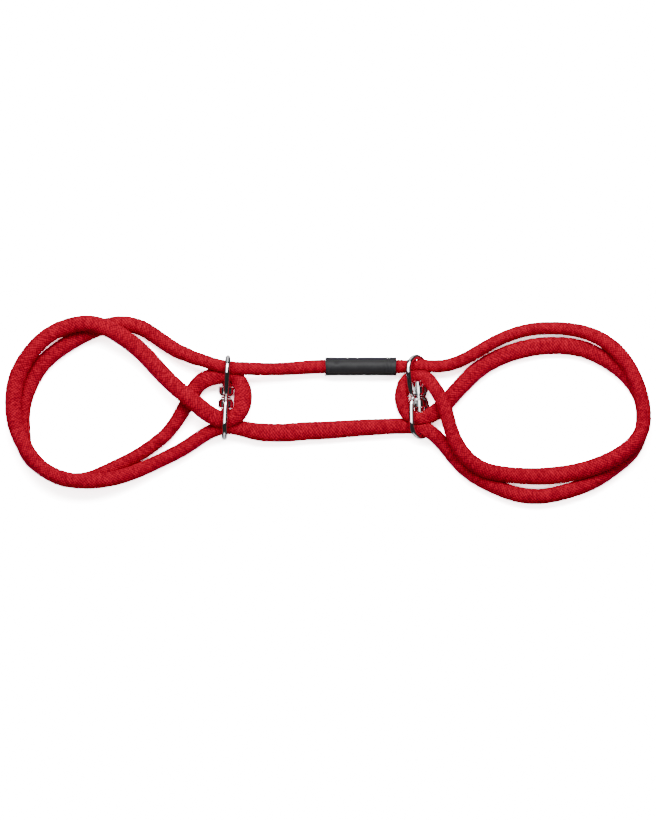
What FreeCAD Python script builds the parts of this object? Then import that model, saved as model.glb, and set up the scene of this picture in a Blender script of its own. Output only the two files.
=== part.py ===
import FreeCAD, Part
import math
import os

# Adjustable double-loop rope cuffs: one long soft rope wound into a left and a right cuff,
# each held by a chrome figure-8 slide with a grooved roller barrel in its waist.
# Millimetres. X runs along the set, Y across it, Z up from the table it lies on.

# Rope
ROPE_RADIUS = 4.1
PIECE_GAP = 0.06
SECTION_STEP = 5.0

# Sleeve over the joined rope ends
SLEEVE_LEFT_X = -0.9
SLEEVE_RIGHT_X = 41.4
SLEEVE_OUTER_RADIUS = 5.6
SLEEVE_BORE_RADIUS = 4.2
SLEEVE_Y = 25.8
SLEEVE_Z = 5.6

# Wire figure-8 slide
WIRE_RADIUS = 1.6
WAIST_WIRE_RADIUS = 1.0
SLIDE_LENGTH = 51.0
SLIDE_DEPTH = 18.0
WAIST_HALF_DEPTH = 4.7
WEB_THICKNESS = 1.2
WEB_EYE_RADIUS = 2.9
WEB_HALF_WIDTH = 1.0

# Grooved roller barrel
ROLLER_RADIUS = 4.5
ROLLER_INNER_END = 0.8
ROLLER_OUTER_END = 6.3
GROOVE_BEVEL_RADIUS = 3.2
GROOVE_BEVEL_END = 2.1
ROLLER_EDGE = 0.3
PIN_RADIUS = 1.4
RUNNING_GAP = 0.06
PIN_HEAD_RADIUS = 2.75
PIN_HALF_LENGTH = 9.25
PIN_HEAD_EDGE = 0.4

# Where each slide sits: barrel centre, lean of its long axis in plan, tip about that axis
LEFT_SLIDE_CENTRE = FreeCAD.Vector(-60.4, 7.2, 9.1)
LEFT_SLIDE_LEAN = -2.6
LEFT_SLIDE_TIP = 0.0
RIGHT_SLIDE_CENTRE = FreeCAD.Vector(54.8, 7.6, 7.1)
RIGHT_SLIDE_LEAN = 3.6
RIGHT_SLIDE_TIP = -43.0

# The rope as one run of stretches from its left end to its right end, both inside the sleeve.
# Each waypoint is x, y, z and the rope radius there.  A stretch ends where the next one starts.
R = ROPE_RADIUS
ROPE_STRETCHES = [
    ("rope_sleeve_end_left", [
        (20.2, 25.8, 5.6, 4.0), (9.0, 25.8, 5.6, 4.0)]),
    ("rope_link_top_fold", [
        (-2.4, 25.8, 5.6, 4.0), (-14.4, 25.1, 6.1, R)]),
    ("rope_link_top_left", [
        (-25.8, 24.4, 7.2, 3.8)]),
    ("rope_left_lobe_top", [
        (-35.4, 24.2, 8.2, 3.7), (-41.4, 24.3, 9.2, 3.5), (-50.4, 24.6, 10.3, 2.9),
        (-60.4, 25.5, 10.5, 2.7), (-69.0, 27.6, 10.2, 3.0)]),
    ("rope_left_lower_winding", [
        (-77.4, 30.4, 9.2, 3.6), (-88.2, 34.5, 7.2, R), (-99.9, 41.8, 5.0, R),
        (-110.2, 48.4, 4.2, R), (-121.1, 51.3, 4.2, R), (-133.2, 49.8, 4.2, R),
        (-145.8, 44.8, 4.2, R), (-159.2, 37.0, 4.2, R), (-170.6, 27.1, 4.2, R),
        (-178.2, 14.4, 4.2, R), (-182.2, 0.9, 4.2, R), (-182.4, -12.3, 4.2, R),
        (-179.7, -26.1, 4.2, R), (-169.5, -36.0, 4.2, R), (-156.6, -42.0, 4.2, R),
        (-142.2, -41.2, 4.2, R), (-129.9, -35.9, 4.2, R), (-116.0, -29.0, 4.2, R),
        (-102.8, -20.2, 4.2, R)]),
    ("rope_left_cross_under", [
        (-93.9, -12.0, 4.2, 4.0), (-88.0, -3.4, 4.2, 3.8), (-82.8, 5.7, 4.2, 3.6),
        (-76.8, 15.3, 5.2, 3.3), (-70.2, 19.1, 7.0, 3.0)]),
    ("rope_left_bight", [
        (-64.2, 20.2, 7.7, 2.75), (-58.2, 20.1, 7.8, 2.8), (-52.3, 16.0, 8.2, 3.7),
        (-50.3, 7.6, 9.2, 4.6), (-51.9, -0.5, 10.1, 3.7), (-57.1, -5.1, 10.6, 2.9)]),
    ("rope_left_cross_over", [
        (-64.2, -5.7, 10.9, 2.8), (-70.2, -3.0, 11.9, 3.2), (-76.8, 2.1, 12.6, 3.6),
        (-83.4, 7.5, 12.9, 3.9)]),
    ("rope_left_upper_winding", [
        (-91.2, 14.1, 12.4, R), (-101.4, 24.3, 10.2, R), (-111.6, 35.1, 9.6, R),
        (-121.2, 42.6, 11.2, R), (-130.8, 48.3, 12.6, R), (-141.6, 51.6, 12.5, R),
        (-154.2, 50.1, 10.6, R), (-167.4, 43.8, 9.4, R), (-178.4, 32.6, 9.4, R),
        (-185.4, 19.5, 9.8, R), (-187.8, 5.7, 10.6, R), (-186.5, -8.7, 11.8, R),
        (-180.3, -23.2, 12.6, R), (-170.7, -34.8, 12.6, R), (-157.6, -41.3, 12.6, R),
        (-143.3, -43.0, 12.4, R), (-128.8, -41.5, 10.6, R), (-113.1, -36.6, 7.6, R),
        (-98.7, -30.0, 6.0, R)]),
    ("rope_left_lobe_bottom", [
        (-86.6, -23.8, 5.4, 3.9), (-77.0, -17.5, 5.8, 3.5), (-68.3, -12.6, 6.4, 3.0),
        (-59.4, -10.7, 6.9, 2.75), (-51.0, -11.4, 6.9, 3.1)]),
    ("rope_link_bottom_left", [
        (-42.6, -13.2, 6.4, 3.8), (-34.2, -13.8, 5.8, R)]),
    ("rope_link_bottom_fold", [
        (-25.8, -13.9, 5.2, R), (-14.4, -13.0, 4.8, R)]),
    ("rope_link_bottom_right", [
        (-2.4, -12.5, 4.6, R), (13.8, -11.4, 4.6, R), (30.6, -10.4, 5.0, 4.0)]),
    ("rope_right_lobe_bottom", [
        (41.4, -9.9, 5.0, 3.5), (48.6, -9.9, 5.1, 2.8), (55.4, -10.8, 6.4, 2.7),
        (61.4, -13.1, 7.9, 2.7), (66.1, -17.0, 6.9, 3.2), (69.8, -21.0, 5.6, 3.8)]),
    ("rope_right_lower_winding", [
        (76.4, -29.0, 4.6, 4.0), (86.7, -38.2, 4.2, R),
        (100.0, -45.7, 4.2, R), (114.5, -51.0, 4.2, R), (129.6, -51.9, 4.2, R),
        (144.6, -48.8, 4.2, R), (159.2, -43.3, 4.2, R), (172.6, -34.7, 4.2, R),
        (184.2, -23.8, 4.2, R), (188.9, -8.9, 4.2, R), (188.0, 4.9, 4.2, R),
        (180.8, 18.2, 4.2, R), (167.1, 29.7, 4.2, R), (152.8, 36.3, 4.2, R),
        (137.4, 38.4, 4.2, R), (121.6, 37.0, 4.2, R), (106.0, 32.5, 4.2, R),
        (92.0, 24.9, 4.2, R)]),
    ("rope_right_cross_under", [
        (81.6, 15.3, 4.2, 4.0), (74.4, 7.5, 4.2, 3.8), (67.8, 0.6, 5.0, 3.5),
        (62.4, -3.2, 6.2, 3.1)]),
    ("rope_right_bight", [
        (57.6, -4.8, 8.0, 2.75), (52.2, -4.9, 7.9, 2.75), (47.1, -1.2, 7.7, 3.3),
        (44.7, 7.2, 7.3, 3.6), (46.5, 15.2, 7.1, 3.4), (51.6, 19.8, 7.2, 2.75)]),
    ("rope_right_cross_over", [
        (58.1, 19.8, 7.6, 2.75), (62.4, 15.8, 9.4, 3.1), (66.4, 10.0, 11.8, 3.6),
        (69.7, 3.3, 12.7, 3.8), (72.4, -5.7, 12.7, 4.0)]),
    ("rope_right_upper_winding", [
        (75.2, -14.8, 12.4, R), (79.1, -22.7, 12.4, R), (84.9, -29.7, 12.2, R),
        (92.7, -35.2, 10.6, R), (103.9, -38.4, 7.6, R), (117.0, -39.8, 5.2, R), (130.8, -39.9, 4.8, R),
        (144.6, -38.3, 6.0, R), (157.8, -35.0, 8.8, R), (170.2, -29.7, 11.6, R),
        (181.2, -22.3, 12.6, R), (188.3, -12.4, 12.6, R), (189.5, -0.3, 12.6, R),
        (186.7, 13.0, 12.4, R), (179.7, 27.4, 11.2, R), (169.0, 38.9, 9.2, R),
        (153.2, 46.6, 6.4, R), (137.4, 48.7, 5.0, R), (121.8, 47.9, 4.8, R),
        (106.2, 43.2, 5.6, R), (91.8, 35.6, 6.8, R)]),
    ("rope_right_lobe_top", [
        (79.8, 29.0, 6.8, 3.8), (71.4, 26.4, 6.8, 3.2), (63.0, 25.9, 6.6, 2.8),
        (54.8, 26.3, 6.2, 2.7), (48.0, 25.9, 6.0, 3.2)]),
    ("rope_link_top_right", [
        (42.6, 25.8, 5.7, 3.8), (31.8, 25.8, 5.6, 4.0)]),
]
ROPE_RIGHT_END = (20.4, 25.8, 5.6, 4.0)


def rope_waypoints():
    """Every waypoint in order, and the index where each stretch starts."""
    points = []
    starts = []
    for name, stretch in ROPE_STRETCHES:
        starts.append((name, len(points)))
        points.extend(stretch)
    points.append(ROPE_RIGHT_END)
    return points, starts


def chord_lengths(points):
    """Distance along the straight legs from the first waypoint to each one."""
    lengths = [0.0]
    for before, after in zip(points, points[1:]):
        lengths.append(lengths[-1] + math.dist(before[:3], after[:3]))
    return lengths


def smooth_curve(points, lengths):
    """One smooth curve through all waypoints, measured close to arc length."""
    curve = Part.BSplineCurve()
    vectors = [FreeCAD.Vector(*point[:3]) for point in points]
    curve.interpolate(Points=vectors, Parameters=lengths)
    return curve


def radius_at(points, lengths, along):
    """Rope radius at a distance along, straight between waypoints."""
    for index in range(len(lengths) - 1):
        if along <= lengths[index + 1]:
            break
    share = (along - lengths[index]) / (lengths[index + 1] - lengths[index])
    share = min(max(share, 0.0), 1.0)
    return points[index][3] + share * (points[index + 1][3] - points[index][3])


def round_section(centre, normal, side, radius):
    """A round wire across the rope, with its seam on the given side."""
    third = normal.cross(side)
    turn = FreeCAD.Rotation(side, third, normal, "ZXY")
    wire = Part.Wire([Part.makeCircle(radius)])
    wire.Placement = FreeCAD.Placement(centre, turn)
    return wire


def rope_piece(curve, points, lengths, start, end):
    """A closed solid that follows the curve between two distances along it."""
    count = max(3, int(math.ceil((end - start) / SECTION_STEP)) + 1)
    side = None
    wires = []
    for index in range(count):
        along = start + (end - start) * index / (count - 1)
        centre = curve.value(along)
        normal = curve.tangent(along)[0]
        if side is None:
            side = normal.cross(FreeCAD.Vector(0, 0, 1))
        side = side - normal * side.dot(normal)
        side.normalize()
        wires.append(round_section(centre, normal, side, radius_at(points, lengths, along)))
    return Part.makeLoft(wires, True, False)


def rope_pieces():
    """Every stretch of the rope as its own solid, a hair apart from the next."""
    points, starts = rope_waypoints()
    lengths = chord_lengths(points)
    curve = smooth_curve(points, lengths)
    ends = [index for name, index in starts[1:]] + [len(points) - 1]
    pieces = {}
    for (name, first), last in zip(starts, ends):
        start = lengths[first] + PIECE_GAP
        end = lengths[last] - PIECE_GAP
        pieces[name] = rope_piece(curve, points, lengths, start, end)
    return pieces


def joint_sleeve():
    """Shrink tube that hides and holds the two rope ends."""
    foot = FreeCAD.Vector(SLEEVE_LEFT_X, SLEEVE_Y, SLEEVE_Z)
    along = FreeCAD.Vector(1, 0, 0)
    length = SLEEVE_RIGHT_X - SLEEVE_LEFT_X
    tube = Part.makeCylinder(SLEEVE_OUTER_RADIUS, length, foot, along)
    bore = Part.makeCylinder(SLEEVE_BORE_RADIUS, length, foot, along)
    return tube.cut(bore)


def slide_outline():
    """Centre line of the bent wire in its own Y-Z plane, one quarter, waist to tip: y, z, radius."""
    half_depth = SLIDE_DEPTH / 2 - WIRE_RADIUS
    tip = SLIDE_LENGTH / 2 - WIRE_RADIUS
    arc_centre = tip - half_depth
    quarter = [
        (0.0, WAIST_HALF_DEPTH, WAIST_WIRE_RADIUS),
        (1.3, WAIST_HALF_DEPTH + 0.6, 1.15),
        (2.8, half_depth - 1.2, 1.45),
        (5.0, half_depth - 0.7, WIRE_RADIUS),
        (8.5, half_depth - 0.35, WIRE_RADIUS),
        (12.5, half_depth - 0.1, WIRE_RADIUS),
    ]
    for degrees in (0, 30, 60, 90):
        turn = math.radians(degrees)
        y = arc_centre + half_depth * math.sin(turn)
        z = half_depth * math.cos(turn)
        quarter.append((y, z, WIRE_RADIUS))
    return quarter


def half_wire():
    """Half of the figure-8 wire, from the upper waist round the far lobe to the lower waist."""
    quarter = slide_outline()
    mirrored = [(y, -z, radius) for y, z, radius in reversed(quarter[:-1])]
    outline = [(0.0, y, z, radius) for y, z, radius in quarter + mirrored]
    lengths = chord_lengths(outline)
    curve = Part.BSplineCurve()
    vectors = [FreeCAD.Vector(*point[:3]) for point in outline]
    level = FreeCAD.Vector(0, 1, 0)
    curve.interpolate(Points=vectors, Parameters=lengths, InitialTangent=level, FinalTangent=-level)
    side = FreeCAD.Vector(1, 0, 0)
    count = 33
    wires = []
    for index in range(count):
        along = lengths[-1] * index / (count - 1)
        normal = curve.tangent(along)[0]
        radius = radius_at(outline, lengths, along)
        wires.append(round_section(curve.value(along), normal, side, radius))
    return Part.makeLoft(wires, True, False)


def waist_web():
    """Thin plate in the barrel groove that ties both waists together, with an eye for the pin."""
    across = FreeCAD.Vector(0, 1, 0)
    foot = FreeCAD.Vector(0, -WEB_THICKNESS / 2, 0)
    eye = Part.makeCylinder(WEB_EYE_RADIUS, WEB_THICKNESS, foot, across)
    corner = FreeCAD.Vector(-WEB_HALF_WIDTH, -WEB_THICKNESS / 2, -WAIST_HALF_DEPTH)
    plate = Part.makeBox(2 * WEB_HALF_WIDTH, WEB_THICKNESS, 2 * WAIST_HALF_DEPTH, corner)
    hole = Part.makeCylinder(PIN_RADIUS + RUNNING_GAP, WEB_THICKNESS, foot, across)
    return eye.fuse(plate).cut(hole)


def slide_frame():
    """The whole figure-8 wire with its web."""
    far_lobe = half_wire()
    near_lobe = far_lobe.mirror(FreeCAD.Vector(0, 0, 0), FreeCAD.Vector(0, 1, 0))
    return far_lobe.fuse([near_lobe, waist_web()]).removeSplitter()


def turned_profile(profile):
    """A solid turned about the Y axis from (radius, y) corners."""
    corners = [FreeCAD.Vector(radius, y, 0) for radius, y in profile]
    face = Part.Face(Part.makePolygon(corners + corners[:1]))
    return face.revolve(FreeCAD.Vector(0, 0, 0), FreeCAD.Vector(0, 1, 0), 360)


def roller():
    """One roller half on the far side of the groove, with its bevelled groove side."""
    bore = PIN_RADIUS + RUNNING_GAP
    return turned_profile([
        (bore, ROLLER_INNER_END),
        (GROOVE_BEVEL_RADIUS, ROLLER_INNER_END),
        (ROLLER_RADIUS, GROOVE_BEVEL_END),
        (ROLLER_RADIUS, ROLLER_OUTER_END - ROLLER_EDGE),
        (ROLLER_RADIUS - ROLLER_EDGE, ROLLER_OUTER_END),
        (bore, ROLLER_OUTER_END),
    ])


def barrel_pin():
    """The pin that carries both rollers, headed at each end."""
    under_head = ROLLER_OUTER_END + RUNNING_GAP
    upper = [
        (PIN_RADIUS, under_head),
        (PIN_HEAD_RADIUS, under_head),
        (PIN_HEAD_RADIUS, PIN_HALF_LENGTH - PIN_HEAD_EDGE),
        (PIN_HEAD_RADIUS - PIN_HEAD_EDGE, PIN_HALF_LENGTH),
        (0, PIN_HALF_LENGTH),
    ]
    lower = [(radius, -y) for radius, y in reversed(upper)]
    return turned_profile(upper + lower)


def placed(shape, centre, lean, tip):
    """Tip a slide piece about its long axis, lean it in plan and move it to its place."""
    moved = shape.copy()
    origin = FreeCAD.Vector(0, 0, 0)
    moved.rotate(origin, FreeCAD.Vector(0, 1, 0), tip)
    moved.rotate(origin, FreeCAD.Vector(0, 0, 1), lean)
    moved.translate(centre)
    return moved


def slide_pieces(side, centre, lean, tip):
    """The frame, the two rollers and the pin of one slide."""
    far_roller = roller()
    near_roller = far_roller.mirror(FreeCAD.Vector(0, 0, 0), FreeCAD.Vector(0, 1, 0))
    shapes = {
        side + "_slide_frame": slide_frame(),
        side + "_roller_upper": far_roller,
        side + "_roller_lower": near_roller,
        side + "_barrel_pin": barrel_pin(),
    }
    return {name: placed(shape, centre, lean, tip) for name, shape in shapes.items()}


def all_pieces():
    """Every sub-component by name."""
    pieces = {"joint_sleeve": joint_sleeve()}
    pieces.update(rope_pieces())
    pieces.update(slide_pieces("left", LEFT_SLIDE_CENTRE, LEFT_SLIDE_LEAN, LEFT_SLIDE_TIP))
    pieces.update(slide_pieces("right", RIGHT_SLIDE_CENTRE, RIGHT_SLIDE_LEAN, RIGHT_SLIDE_TIP))
    return pieces


os.makedirs("parts", exist_ok=True)
for node, shape in all_pieces().items():
    shape.exportStep("parts/" + node + ".step")
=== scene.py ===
import functools
import math

import bpy
import numpy as np
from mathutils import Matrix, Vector
from mathutils.bvhtree import BVHTree


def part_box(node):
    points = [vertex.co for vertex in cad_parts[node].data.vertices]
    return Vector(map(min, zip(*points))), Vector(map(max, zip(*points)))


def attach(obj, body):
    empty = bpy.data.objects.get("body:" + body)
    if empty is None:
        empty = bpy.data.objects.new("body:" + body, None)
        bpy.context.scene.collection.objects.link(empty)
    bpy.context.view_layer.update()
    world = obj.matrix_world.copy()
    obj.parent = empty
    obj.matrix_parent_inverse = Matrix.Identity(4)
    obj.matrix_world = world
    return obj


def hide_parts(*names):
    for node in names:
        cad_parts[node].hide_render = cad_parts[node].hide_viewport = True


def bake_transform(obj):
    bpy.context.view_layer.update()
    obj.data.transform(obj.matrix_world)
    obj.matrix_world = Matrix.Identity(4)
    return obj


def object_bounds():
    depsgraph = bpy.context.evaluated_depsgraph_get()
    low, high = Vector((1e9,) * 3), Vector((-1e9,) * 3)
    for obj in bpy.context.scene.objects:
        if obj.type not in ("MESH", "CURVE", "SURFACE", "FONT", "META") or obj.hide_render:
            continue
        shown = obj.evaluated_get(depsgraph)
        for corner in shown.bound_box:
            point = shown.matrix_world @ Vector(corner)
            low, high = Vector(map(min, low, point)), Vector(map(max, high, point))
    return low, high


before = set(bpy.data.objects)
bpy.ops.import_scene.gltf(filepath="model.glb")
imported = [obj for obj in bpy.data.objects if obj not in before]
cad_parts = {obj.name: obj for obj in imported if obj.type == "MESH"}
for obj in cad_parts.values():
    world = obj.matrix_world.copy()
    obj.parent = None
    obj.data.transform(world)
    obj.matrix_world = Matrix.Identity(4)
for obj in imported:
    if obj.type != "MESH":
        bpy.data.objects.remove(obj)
cad_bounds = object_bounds()

MM = 0.001

# The rope, from its left end in the sleeve to its right end in the sleeve.
# Each entry: CAD piece, the body at its start, and the body at its end where that is another one.
ROPE_ORDER = [
    ("rope_sleeve_end_left", "right_side", None),
    ("rope_link_top_fold", "right_side", "left_side"),
    ("rope_link_top_left", "left_side", None),
    ("rope_left_lobe_top", "left_side", None),
    ("rope_left_lower_winding", "left_side", None),
    ("rope_left_cross_under", "left_side", "left_bight"),
    ("rope_left_bight", "left_bight", None),
    ("rope_left_cross_over", "left_bight", "left_side"),
    ("rope_left_upper_winding", "left_side", None),
    ("rope_left_lobe_bottom", "left_side", None),
    ("rope_link_bottom_left", "left_side", None),
    ("rope_link_bottom_fold", "left_side", "right_side"),
    ("rope_link_bottom_right", "right_side", None),
    ("rope_right_lobe_bottom", "right_side", None),
    ("rope_right_lower_winding", "right_side", None),
    ("rope_right_cross_under", "right_side", "right_bight"),
    ("rope_right_bight", "right_bight", None),
    ("rope_right_cross_over", "right_bight", "right_side"),
    ("rope_right_upper_winding", "right_side", None),
    ("rope_right_lobe_top", "right_side", None),
    ("rope_link_top_right", "right_side", None),
]

# Half widths of the rope seen from above, in millimetres, at even shares of each piece.
HALF_WIDTHS = {
    "rope_sleeve_end_left": [4.1, 4.1],
    "rope_link_top_fold": [4.1, 3.9],
    "rope_link_top_left": [3.8, 3.7],
    "rope_left_lobe_top": [3.8, 3.9, 3.8, 3.7, 3.8],
    "rope_left_lower_winding": [4.4, 4.6, 4.7, 5.0, 4.9, 4.6, 4.5, 4.4, 4.1, 4.0],
    "rope_left_cross_under": [4.1, 4.5, 4.9, 5.1],
    "rope_left_bight": [5.0, 5.0, 5.5, 5.0, 4.7],
    "rope_left_cross_over": [5.1, 5.2, 5.0, 5.0],
    "rope_left_upper_winding": [5.1, 5.2, 4.6, 4.8, 5.0, 4.7, 4.5, 4.5, 4.3, 4.2],
    "rope_left_lobe_bottom": [4.3, 4.2, 3.9, 4.8],
    "rope_link_bottom_left": [5.4, 5.4],
    "rope_link_bottom_fold": [5.5, 5.4],
    "rope_link_bottom_right": [5.3, 5.1, 4.9, 4.7],
    "rope_right_lobe_bottom": [4.6, 4.4, 4.2, 4.2],
    "rope_right_lower_winding": [4.8, 4.6, 4.5, 4.5, 4.0, 3.8, 4.6, 5.2, 5.3, 5.2],
    "rope_right_cross_under": [5.0, 5.0, 4.8],
    "rope_right_bight": [4.2, 4.1, 4.2, 4.1, 4.1],
    "rope_right_cross_over": [4.1, 4.2, 4.2],
    "rope_right_upper_winding": [4.3, 4.7, 5.2, 4.9, 4.4, 4.0, 4.4, 3.9, 3.7, 3.7],
    "rope_right_lobe_top": [3.8, 3.7, 3.7],
    "rope_link_top_right": [4.3, 4.4],
}
ROPE_AREA = 18.5
HEIGHT_EXTRA = 0.3
SOFT_EXTRA = 0.1
FLOOR_CLEARANCE = 0.3

# Tracing the CAD bars' centre lines, millimetres
FOLLOW_STEP = 1.5
WALL_RAYS = 12
WALL_REACH = 7.0
CAP_CLEARANCE = 1.2
CAP_DEPTH = 0.3
CAP_FACING = 0.7
SMOOTHING_ROUNDS = 2
TANGENT_REACH = 0.5

# Braid, millimetres
ROUND_STEPS = 64
LENGTH_STEP = 0.3
PLAITS_ROUND = 14
PLAIT_LENGTH = 1.75
PLAIT_HEIGHT = 0.42
PLAIT_MIDDLE = 0.6
LUMP_HEIGHT = 0.10
FUZZ_HEIGHT = 0.07
# Painted shade: how much the fuzz's low spots darken the rope colour through the plait ramp.
FUZZ_SHADE = 0.12
RANDOM = np.random.default_rng(11)

# Where the rope is pressed in by its neighbours, millimetres
CONTACT_REACH = 7.5
METAL_GAP = 0.15
ROPE_GAP = 0.05

# Sleeve
SLEEVE_STEPS = 96
SLEEVE_RINGS = 140
SLEEVE_SKIN = 1.0

# Studio
PAPER_SEEN = 22.0
PAPER_LIT = 0.6
PAPER_MIRRORED = 0.04
PAPER_SHADE_FROM = 0.25
PAPER_SHADE_FULL = 0.55
SKY_STRENGTH = 0.42
LAMP_POWER = 14
WINDOW_STRENGTH = 8.0
WINDOW_X = (-0.66, 0.28)
WINDOW_Y = (0.00, 0.62)
WINDOW_EDGE_X = 0.05
WINDOW_EDGE_Y = 0.02
ROOM_STRENGTH = 0.03
WALL_STRENGTH = 1.3
WALL_FROM = 0.80
WALL_FULL = 0.92
BACKDROP_SEEN = 16.0
PICTURE_HEIGHT = 0.492
PICTURE_CENTRE = (0.0006, -0.0003)
CAMERA_LENS = 300
FLOOR_SIZE = 6
FLOOR_DROP = 0.0002


@functools.cache
def world_tree(node):
    """A search tree over a CAD piece's faces, in the row frame, in millimetres."""
    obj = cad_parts[node]
    points = [obj.matrix_world @ vertex.co / MM for vertex in obj.data.vertices]
    faces = [polygon.vertices[:] for polygon in obj.data.polygons]
    return BVHTree.FromPolygons(points, faces)


def side_of(direction):
    """Level direction across the rope."""
    side = direction.cross(Vector((0, 0, 1)))
    side.normalize()
    return side


def wall_points(tree, point, direction):
    """Where rays across the rope meet its wall, or None outside it."""
    side = side_of(direction)
    up = side.cross(direction)
    hits = []
    for index in range(WALL_RAYS):
        turn = index * 2 * math.pi / WALL_RAYS
        ray = side * math.cos(turn) + up * math.sin(turn)
        hit = tree.ray_cast(point, ray, WALL_REACH)[0]
        if hit is None:
            return None
        hits.append(hit)
    return hits


def centred(tree, point, direction):
    """The point moved to the middle of the bar, and the bar's radius there, or None outside it."""
    radius = 0.0
    for attempt in range(2):
        hits = wall_points(tree, point, direction)
        if hits is None:
            return None
        point = sum(hits, Vector()) / len(hits)
        radius = sum((hit - point).length for hit in hits) / len(hits)
    return point, radius


def cap_near(tree, place):
    """Centre, outward direction and radius of the flat end cap nearest to a place."""
    hit, outward = tree.find_nearest(place)[:2]
    centre, radius = centred(tree, hit - outward * CAP_DEPTH, outward)
    return centre + outward * CAP_DEPTH, outward, radius


def follow_piece(node, place):
    """Centre line and radii of a bar-shaped CAD piece, from the cap near a place to the other cap."""
    tree = world_tree(node)
    cap, outward, radius = cap_near(tree, place)
    line = [(*cap, radius)]
    direction = -outward
    point = cap + direction * FOLLOW_STEP
    while True:
        point, radius = centred(tree, point, direction)
        direction = (point - Vector(line[-1][:3])).normalized()
        line.append((*point, radius))
        hit, facing = tree.ray_cast(point, direction, FOLLOW_STEP + CAP_CLEARANCE)[:2]
        if hit is not None and abs(facing.dot(direction)) > CAP_FACING:
            cap, outward, radius = cap_near(tree, hit)
            line.append((*cap, radius))
            return line
        point = point + direction * FOLLOW_STEP


def follow_rope():
    """The whole rope's centre line with radii, and where along it each CAD piece starts and ends."""
    low, high = (Vector(corner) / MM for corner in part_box("rope_sleeve_end_left"))
    place = Vector((high.x, (low.y + high.y) / 2, (low.z + high.z) / 2))
    line = []
    seams = []
    for node, body, towards in ROPE_ORDER:
        found = follow_piece(node, place)
        place = Vector(found[-1][:3])
        joint = np.array(found[0])
        if line:
            joint = (joint + np.array(line.pop())) / 2
        seams.append(len(line))
        line.append(tuple(joint))
        line.extend(found[1:])
    seams.append(len(line) - 1)
    line = smoothed(np.array(line), SMOOTHING_ROUNDS)
    steps = np.linalg.norm(np.diff(line[:, :3], axis=0), axis=1)
    along = np.concatenate([[0.0], np.cumsum(steps)])
    ranges = {}
    for (node, body, towards), start, end in zip(ROPE_ORDER, seams, seams[1:]):
        ranges[node] = (along[start], along[end])
    return line, along, ranges


def smoothed(values, rounds):
    """Each row averaged with its neighbours, ends kept."""
    for count in range(rounds):
        middle = (values[:-2] + 2 * values[1:-1] + values[2:]) / 4
        values = np.concatenate([values[:1], middle, values[-1:]])
    return values


def resampled(line, along, wanted):
    """Points at wanted distances along a line, with a smooth curve between its points."""
    spans = np.diff(along)
    slopes = np.gradient(line, along, axis=0)
    index = np.clip(np.searchsorted(along, wanted, side="right") - 1, 0, len(spans) - 1)
    span = spans[index][:, None]
    t = ((wanted - along[index]) / spans[index])[:, None]
    before, after = line[index], line[index + 1]
    rise, fall = slopes[index] * span, slopes[index + 1] * span
    t2, t3 = t * t, t * t * t
    return (
        (2 * t3 - 3 * t2 + 1) * before
        + (t3 - 2 * t2 + t) * rise
        + (3 * t2 - 2 * t3) * after
        + (t3 - t2) * fall
    )


def half_width_line(ranges):
    """Distances along the rope and its half width at each of them."""
    places = []
    widths = []
    for node, (start, end) in ranges.items():
        values = HALF_WIDTHS[node]
        for index, value in enumerate(values):
            share = (index + 0.5) / len(values)
            places.append(start + share * (end - start))
            widths.append(value)
    return np.array(places), np.array(widths)


def plait_pattern(turn, distance):
    """Height of the braid, 0 to 1, and a random tone of each plait, round and along the rope."""
    around = turn * PLAITS_ROUND / (2 * math.pi)
    steps = distance / PLAIT_LENGTH
    wobble = 0.12 * np.sin(distance * 0.9 + turn) + 0.08 * np.sin(distance * 2.3 - 2 * turn)
    rising = around + steps + wobble
    falling = around - steps + wobble
    over = (np.floor(rising) + np.floor(falling)) % 2 == 0
    across = np.where(over, falling % 1.0, rising % 1.0)
    lengthwise = np.where(over, rising % 1.0, falling % 1.0)
    ridge = np.sin(math.pi * across) ** 0.7
    bow = 0.25 + 0.75 * np.sin(math.pi * lengthwise) ** 0.6
    shuffle = np.sin((np.floor(rising) % PLAITS_ROUND) * 12.9898 + np.floor(steps * 2) * 78.233)
    tone = (shuffle * 43758.5453) % 1.0
    return ridge * bow, tone


def lumps(turn, distance):
    """Slow unevenness of a soft rope, about -1 to 1."""
    waves = np.sin(distance * 0.83 + 2 * turn) + np.sin(distance * 1.37 - turn + 1.0)
    return (waves + np.sin(distance * 2.1 + 3 * turn + 2.0)) / 3


def neighbours_of(node):
    """Search trees of the CAD pieces beside a stretch of rope, each with a mark for metal."""
    order = [name for name, body, towards in ROPE_ORDER]
    place = order.index(node)
    joined = {order[place - 1], node, order[(place + 1) % len(order)], "joint_sleeve"}
    low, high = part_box(node)
    found = []
    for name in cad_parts:
        other_low, other_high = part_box(name)
        gaps = [max(other_low[k] - high[k], low[k] - other_high[k]) for k in range(3)]
        if name not in joined and max(gaps) < CONTACT_REACH * MM:
            found.append((world_tree(name), not name.startswith("rope")))
    return found


def close_ones(centre, reach, near):
    """The neighbours within reach of a point on the centre line, each with the way towards it."""
    found = []
    for tree, metal in near:
        nearest = tree.find_nearest(centre, reach)[0]
        if nearest is not None:
            found.append((tree, metal, nearest - centre))
    return found


def pull_needed(centre, offset, radius, close):
    """How far one surface point has to be pulled in to stay clear of its neighbours."""
    wanted = offset.length
    limit = wanted
    for tree, metal, towards in close:
        if offset.dot(towards) < 0 and not metal:
            continue
        distance = tree.ray_cast(centre, offset, wanted + CONTACT_REACH / 2)[3]
        if distance is None:
            continue
        if metal:
            limit = min(limit, distance - METAL_GAP)
        else:
            limit = min(limit, max((distance + radius) / 2 - ROPE_GAP, radius - ROPE_GAP))
    return wanted - limit


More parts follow.
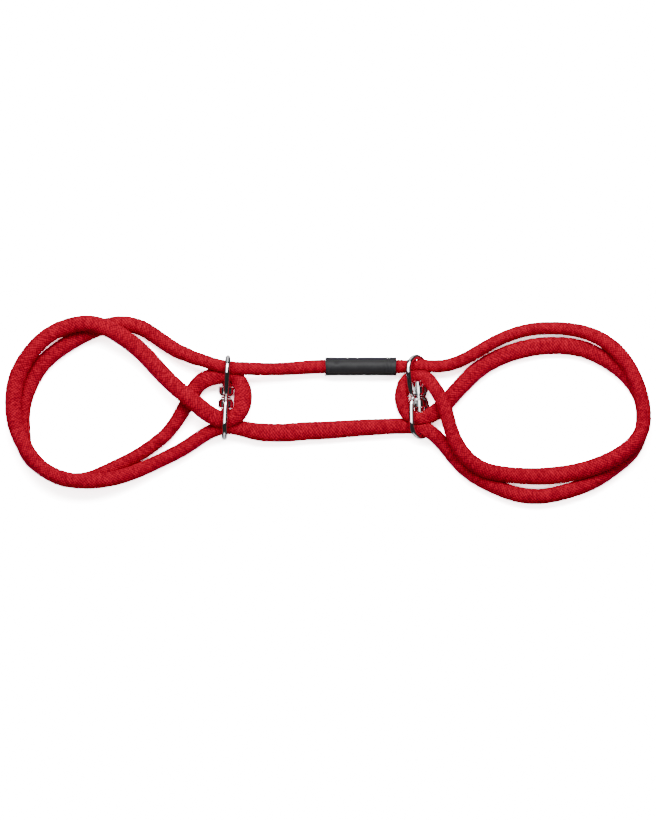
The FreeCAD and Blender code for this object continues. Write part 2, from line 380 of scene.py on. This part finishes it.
def pulled_in(node, centres, points, radii):
    """Surface points pressed in where the soft rope lies against metal or another stretch."""
    near = neighbours_of(node)
    offsets = points - centres[:, None, :]
    pull = np.zeros(points.shape[:2])
    lengths = np.linalg.norm(offsets, axis=2)
    for ring, (spot, radius) in enumerate(zip(centres, radii)):
        centre = Vector(spot)
        close = close_ones(centre, 2 * lengths[ring].max() - radius + METAL_GAP, near)
        if close:
            pull[ring] = [pull_needed(centre, Vector(offset), radius, close) for offset in offsets[ring]]
    pull = spread(pull)
    return centres[:, None, :] + offsets * ((lengths - pull) / lengths)[:, :, None]


def spread(pull):
    """Widen each pressed patch by one step all round, then soften its edge."""
    rows = np.concatenate([pull[:1], pull, pull[-1:]])
    wide = np.maximum(np.maximum(rows[:-2], rows[2:]), pull)
    wide = np.maximum(np.maximum(np.roll(wide, 1, axis=1), np.roll(wide, -1, axis=1)), wide)
    rows = np.concatenate([wide[:1], wide, wide[-1:]])
    soft = (rows[:-2] + 2 * wide + rows[2:]) / 4
    soft = (np.roll(soft, 1, axis=1) + 2 * soft + np.roll(soft, -1, axis=1)) / 4
    return np.maximum(soft, pull)


def half_heights(radii, half_widths):
    """Half thickness of the rope: as the CAD bar, but flatter where the rope is spread wide."""
    return np.minimum(radii + SOFT_EXTRA, ROPE_AREA / half_widths + HEIGHT_EXTRA)


def tube_walls(rings, steps):
    """Quads between the rings of a tube."""
    ring = np.arange(steps)
    nxt = (ring + 1) % steps
    rows = np.arange(rings - 1)[:, None] * steps
    quads = np.stack([rows + ring, rows + nxt, rows + steps + nxt, rows + steps + ring], axis=2)
    return quads.reshape(-1, 4)


def add_mesh(name, coords, faces):
    """A smooth-shaded mesh object from points in metres."""
    mesh = bpy.data.meshes.new(name)
    mesh.from_pydata(coords.tolist(), [], faces)
    mesh.polygons.foreach_set("use_smooth", [True] * len(faces))
    obj = bpy.data.objects.new(name, mesh)
    bpy.context.collection.objects.link(obj)
    return obj


def rope_mesh(node, centres, tangents, distances, half_widths, radii):
    """One stretch of braided rope as a closed mesh."""
    sides = np.cross(tangents, [0.0, 0.0, 1.0])
    sides /= np.linalg.norm(sides, axis=1)[:, None]
    ups = np.cross(sides, tangents)
    turns = np.arange(ROUND_STEPS) * 2 * math.pi / ROUND_STEPS
    wide = half_widths[:, None]
    thick = half_heights(radii, half_widths)[:, None]
    height, tone = plait_pattern(turns[None, :], distances[:, None])
    fuzz = RANDOM.uniform(-1, 1, height.shape)
    extra = (height - PLAIT_MIDDLE) * PLAIT_HEIGHT + fuzz * FUZZ_HEIGHT
    extra = extra + lumps(turns[None, :], distances[:, None]) * LUMP_HEIGHT
    across = np.cos(turns)[None, :] * (wide + extra)
    upward = np.sin(turns)[None, :] * (thick + extra)
    points = (
        centres[:, None, :]
        + across[:, :, None] * sides[:, None, :]
        + upward[:, :, None] * ups[:, None, :]
    )
    points = pulled_in(node, centres, points, radii)
    rings = len(centres)
    caps = np.array([centres[0], centres[-1]])
    coords = np.concatenate([points.reshape(-1, 3), caps]) * MM
    faces = tube_walls(rings, ROUND_STEPS)[:, ::-1].tolist()
    last = (rings - 1) * ROUND_STEPS
    first_cap = rings * ROUND_STEPS
    for step in range(ROUND_STEPS):
        nxt = (step + 1) % ROUND_STEPS
        faces.append((step, nxt, first_cap))
        faces.append((last + nxt, last + step, first_cap + 1))
    obj = add_mesh(node + "_braid", coords, faces)
    # The plait height with fuzz drives the painted shade between plaits in the rope material.
    add_values(obj.data, "plait", height + fuzz * FUZZ_SHADE)
    add_values(obj.data, "tone", tone)
    return obj


def add_values(mesh, name, values):
    """One number on each vertex for the rope material, with 0.5 on the two cap centres."""
    layer = mesh.attributes.new(name, "FLOAT", "POINT")
    flat = np.concatenate([values.reshape(-1), [0.5, 0.5]]).astype(np.float32)
    layer.data.foreach_set("value", flat)


def build_rope(material):
    """The braided rope, one mesh per CAD piece, in place of the plain CAD bars."""
    line, along, ranges = follow_rope()
    places, widths = half_width_line(ranges)
    for node, body, towards in ROPE_ORDER:
        start, end = ranges[node]
        count = max(4, int(round((end - start) / LENGTH_STEP)) + 1)
        distances = np.linspace(start, end, count)
        found = resampled(line, along, distances)
        behind = resampled(line, along, np.maximum(distances - TANGENT_REACH, 0.0))
        ahead = resampled(line, along, np.minimum(distances + TANGENT_REACH, along[-1]))
        centres, radii = found[:, :3], found[:, 3]
        tangents = ahead[:, :3] - behind[:, :3]
        tangents /= np.linalg.norm(tangents, axis=1)[:, None]
        half_widths = np.interp(distances, places, widths)
        lowest = half_heights(radii, half_widths) + FLOOR_CLEARANCE
        centres[:, 2] = np.maximum(centres[:, 2], lowest)
        piece = rope_mesh(node, centres, tangents, distances, half_widths, radii)
        piece.data.materials.append(material)
        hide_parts(node)
        if towards is None:
            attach(piece, body)
        else:
            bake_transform(piece)


def principled(name, color, roughness, metallic=0.0):
    """A plain material and its main node."""
    material = bpy.data.materials.new(name)
    material.use_nodes = True
    node = material.node_tree.nodes["Principled BSDF"]
    node.inputs["Base Color"].default_value = (*color, 1)
    node.inputs["Roughness"].default_value = roughness
    node.inputs["Metallic"].default_value = metallic
    return material, node


def rope_material():
    """Soft crimson braid, with painted shade in the hollows between plaits; each plait its own random
    tone.
    """
    material, node = principled("red_braid", (0.55, 0.012, 0.028), 0.9)
    tree = material.node_tree
    plait = tree.nodes.new("ShaderNodeAttribute")
    plait.attribute_name = "plait"
    # Painted shade: low braid height gets a dark crimson, the plait tops get the full crimson.
    ramp = tree.nodes.new("ShaderNodeValToRGB")
    ramp.color_ramp.elements[0].position = 0.10
    ramp.color_ramp.elements[0].color = (0.16, 0.002, 0.009, 1)
    ramp.color_ramp.elements[1].position = 0.85
    ramp.color_ramp.elements[1].color = (0.50, 0.004, 0.024, 1)
    tree.links.new(plait.outputs["Fac"], ramp.inputs["Fac"])
    tone = tree.nodes.new("ShaderNodeAttribute")
    tone.attribute_name = "tone"
    level = tree.nodes.new("ShaderNodeMapRange")
    level.inputs["To Min"].default_value = 0.66
    level.inputs["To Max"].default_value = 1.16
    tree.links.new(tone.outputs["Fac"], level.inputs["Value"])
    mix = tree.nodes.new("ShaderNodeVectorMath")
    mix.operation = "SCALE"
    tree.links.new(ramp.outputs["Color"], mix.inputs[0])
    tree.links.new(level.outputs["Result"], mix.inputs["Scale"])
    tree.links.new(mix.outputs["Vector"], node.inputs["Base Color"])
    node.inputs["Specular IOR Level"].default_value = 0.03
    return material


def sleeve_material():
    """Satin black shrink tube."""
    material, node = principled("black_sleeve", (0.019, 0.018, 0.020), 0.5)
    node.inputs["Specular IOR Level"].default_value = 0.16
    tree = material.node_tree
    place = tree.nodes.new("ShaderNodeNewGeometry")
    grain = tree.nodes.new("ShaderNodeTexNoise")
    grain.inputs["Scale"].default_value = 900
    bump = tree.nodes.new("ShaderNodeBump")
    bump.inputs["Strength"].default_value = 0.15
    bump.inputs["Distance"].default_value = 0.0002
    tree.links.new(place.outputs["Position"], grain.inputs["Vector"])
    tree.links.new(grain.outputs["Fac"], bump.inputs["Height"])
    tree.links.new(bump.outputs["Normal"], node.inputs["Normal"])
    return material


def chrome_material():
    """Bright plated metal."""
    return principled("chrome", (0.86, 0.86, 0.87), 0.06, 1.0)[0]


def build_sleeve(material):
    """The shrink tube with slightly wavy ends, ripples and one dimple."""
    low, high = (np.array(corner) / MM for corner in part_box("joint_sleeve"))
    middle = (low + high) / 2
    outer = (high[2] - low[2]) / 2
    length = high[0] - low[0]
    turns = np.arange(SLEEVE_STEPS) * 2 * math.pi / SLEEVE_STEPS
    shares = np.linspace(0, 1, SLEEVE_RINGS)
    turn, share = np.meshgrid(turns, shares)
    ends = np.exp(-share * 30) + np.exp(-(1 - share) * 30)
    near_right = np.exp(-((share - 0.9) / 0.07) ** 2)
    radius = outer - 0.12 + 0.18 * ends
    radius = radius + 0.10 * near_right * np.sin(share * length * 2.6 + 1.5 * np.sin(turn))
    radius = radius + 0.05 * np.sin(share * 23 + 2 * turn)
    dimple = np.exp(-((share - 0.16) / 0.03) ** 2 - ((turn - 1.0) / 0.35) ** 2)
    radius = radius - 0.45 * dimple
    shift = 0.25 * np.sin(2 * turn + 0.6) * (2 * share - 1) ** 5
    x = low[0] + share * length + shift
    y = middle[1] + radius * np.cos(turn)
    z = middle[2] + radius * np.sin(turn)
    outside = np.stack([x, y, z], axis=2).reshape(-1, 3)
    bore = outer - SLEEVE_SKIN
    inside = np.stack([x, middle[1] + bore * np.cos(turn), middle[2] + bore * np.sin(turn)], axis=2)
    coords = np.concatenate([outside, inside.reshape(-1, 3)]) * MM
    outer_faces = tube_walls(SLEEVE_RINGS, SLEEVE_STEPS)
    total = SLEEVE_RINGS * SLEEVE_STEPS
    inner_faces = outer_faces[:, ::-1] + total
    ring = np.arange(SLEEVE_STEPS)
    nxt = (ring + 1) % SLEEVE_STEPS
    last = total - SLEEVE_STEPS
    rim_low = np.stack([ring + total, nxt + total, nxt, ring], axis=1)
    rim_high = np.stack([ring + last, nxt + last, nxt + last + total, ring + last + total], axis=1)
    faces = np.concatenate([outer_faces, inner_faces, rim_low, rim_high])
    obj = add_mesh("joint_sleeve_tube", coords, faces.tolist())
    obj.data.materials.append(material)
    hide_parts("joint_sleeve")
    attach(obj, "right_side")


def dress_metal(material):
    """Chrome on the slides and barrels that come straight from the CAD model."""
    for name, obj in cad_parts.items():
        if name.startswith("rope") or name.startswith("joint"):
            continue
        obj.data.materials.clear()
        obj.data.materials.append(material)


def soft_box(name, place, aim, size_x, size_y, power):
    """One studio light."""
    data = bpy.data.lights.new(name, "AREA")
    data.shape = "RECTANGLE"
    data.size = size_x
    data.size_y = size_y
    data.energy = power
    lamp = bpy.data.objects.new(name, data)
    bpy.context.collection.objects.link(lamp)
    lamp.location = place
    direction = Vector(aim) - Vector(place)
    lamp.rotation_euler = direction.to_track_quat("-Z", "Y").to_euler()


def plain_diffuse(tree, shade):
    """One matt grey."""
    node = tree.nodes.new("ShaderNodeBsdfDiffuse")
    node.inputs["Color"].default_value = (shade, shade, shade, 1)
    return node.outputs["BSDF"]


def mixed(tree, factor, first, second):
    """One shader or another."""
    node = tree.nodes.new("ShaderNodeMixShader")
    tree.links.new(factor, node.inputs["Fac"])
    tree.links.new(first, node.inputs[1])
    tree.links.new(second, node.inputs[2])
    return node.outputs["Shader"]


def paper_material():
    """White paper: pure white to the camera, darker in the metal's reflections to left and right."""
    material = bpy.data.materials.new("white_paper")
    material.use_nodes = True
    tree = material.node_tree
    tree.nodes.clear()
    out = tree.nodes.new("ShaderNodeOutputMaterial")
    paths = tree.nodes.new("ShaderNodeLightPath")
    view = tree.nodes.new("ShaderNodeNewGeometry")
    parts = tree.nodes.new("ShaderNodeSeparateXYZ")
    tree.links.new(view.outputs["Incoming"], parts.inputs["Vector"])
    sideways = tree.nodes.new("ShaderNodeMath")
    sideways.operation = "ABSOLUTE"
    tree.links.new(parts.outputs["X"], sideways.inputs[0])
    dark = tree.nodes.new("ShaderNodeMapRange")
    dark.inputs["From Min"].default_value = PAPER_SHADE_FROM
    dark.inputs["From Max"].default_value = PAPER_SHADE_FULL
    tree.links.new(sideways.outputs["Value"], dark.inputs["Value"])
    reflected = mixed(
        tree, dark.outputs["Result"], plain_diffuse(tree, PAPER_LIT), plain_diffuse(tree, PAPER_MIRRORED)
    )
    unseen = mixed(tree, paths.outputs["Is Glossy Ray"], plain_diffuse(tree, PAPER_LIT), reflected)
    shader = mixed(tree, paths.outputs["Is Camera Ray"], unseen, plain_diffuse(tree, PAPER_SEEN))
    tree.links.new(shader, out.inputs["Surface"])
    return material


def window_side(tree, axis_value, low, high, edge):
    """1 between two limits of a direction's component, falling to 0 over a soft edge."""
    rise = tree.nodes.new("ShaderNodeMapRange")
    rise.interpolation_type = "SMOOTHSTEP"
    rise.inputs["From Min"].default_value = low - edge
    rise.inputs["From Max"].default_value = low + edge
    fall = tree.nodes.new("ShaderNodeMapRange")
    fall.interpolation_type = "SMOOTHSTEP"
    fall.inputs["From Min"].default_value = high + edge
    fall.inputs["From Max"].default_value = high - edge
    both = tree.nodes.new("ShaderNodeMath")
    both.operation = "MULTIPLY"
    tree.links.new(axis_value, rise.inputs["Value"])
    tree.links.new(axis_value, fall.inputs["Value"])
    tree.links.new(rise.outputs["Result"], both.inputs[0])
    tree.links.new(fall.outputs["Result"], both.inputs[1])
    return both.outputs["Value"]


def studio_world():
    """Even soft light for cloth, a white backdrop, and for mirror rays a bright window in a dark room."""
    world = bpy.data.worlds.new("studio")
    bpy.context.scene.world = world
    world.use_nodes = True
    tree = world.node_tree
    even = tree.nodes["Background"]
    even.inputs["Color"].default_value = (1, 1, 1, 1)
    even.inputs["Strength"].default_value = SKY_STRENGTH
    place = tree.nodes.new("ShaderNodeTexCoord")
    parts = tree.nodes.new("ShaderNodeSeparateXYZ")
    tree.links.new(place.outputs["Generated"], parts.inputs["Vector"])
    wide = window_side(tree, parts.outputs["X"], *WINDOW_X, WINDOW_EDGE_X)
    deep = window_side(tree, parts.outputs["Y"], *WINDOW_Y, WINDOW_EDGE_Y)
    window = tree.nodes.new("ShaderNodeMath")
    window.operation = "MULTIPLY"
    tree.links.new(wide, window.inputs[0])
    tree.links.new(deep, window.inputs[1])
    room = tree.nodes.new("ShaderNodeMapRange")
    room.inputs["From Min"].default_value = WALL_FROM
    room.inputs["From Max"].default_value = WALL_FULL
    room.inputs["To Min"].default_value = ROOM_STRENGTH
    room.inputs["To Max"].default_value = WALL_STRENGTH
    endways = tree.nodes.new("ShaderNodeMath")
    endways.operation = "ABSOLUTE"
    tree.links.new(parts.outputs["Y"], endways.inputs[0])
    tree.links.new(endways.outputs["Value"], room.inputs["Value"])
    strength = tree.nodes.new("ShaderNodeMapRange")
    strength.inputs["To Max"].default_value = WINDOW_STRENGTH
    tree.links.new(room.outputs["Result"], strength.inputs["To Min"])
    tree.links.new(window.outputs["Value"], strength.inputs["Value"])
    mirror = tree.nodes.new("ShaderNodeBackground")
    tree.links.new(strength.outputs["Result"], mirror.inputs["Strength"])
    paths = tree.nodes.new("ShaderNodeLightPath")
    backdrop = tree.nodes.new("ShaderNodeBackground")
    backdrop.inputs["Strength"].default_value = BACKDROP_SEEN
    glossy = paths.outputs["Is Glossy Ray"]
    unseen = mixed(tree, glossy, even.outputs["Background"], mirror.outputs["Background"])
    seen = mixed(tree, paths.outputs["Is Camera Ray"], unseen, backdrop.outputs["Background"])
    tree.links.new(seen, tree.nodes["World Output"].inputs["Surface"])


def studio():
    """White floor, soft light from above and behind, camera straight overhead."""
    low, high = cad_bounds
    middle = Vector(((low[0] + high[0]) / 2, (low[1] + high[1]) / 2, 0))
    bpy.ops.mesh.primitive_plane_add(size=FLOOR_SIZE, location=(middle.x, middle.y, low[2] - FLOOR_DROP))
    floor = bpy.context.object
    floor.name = "floor"
    floor.data.materials.append(paper_material())
    studio_world()
    soft_box("top_light", (middle.x, middle.y + 0.55, 0.75), middle, 1.0, 0.5, LAMP_POWER)
    camera = bpy.data.objects.new("camera", bpy.data.cameras.new("camera"))
    bpy.context.collection.objects.link(camera)
    camera.data.lens = CAMERA_LENS
    camera.data.clip_start = 0.05
    reach = PICTURE_HEIGHT * camera.data.lens / camera.data.sensor_width
    camera.location = (PICTURE_CENTRE[0], PICTURE_CENTRE[1], reach)
    camera.rotation_euler = (0, 0, 0)
    bpy.context.scene.camera = camera


rope = rope_material()
build_rope(rope)
build_sleeve(sleeve_material())
dress_metal(chrome_material())
studio()
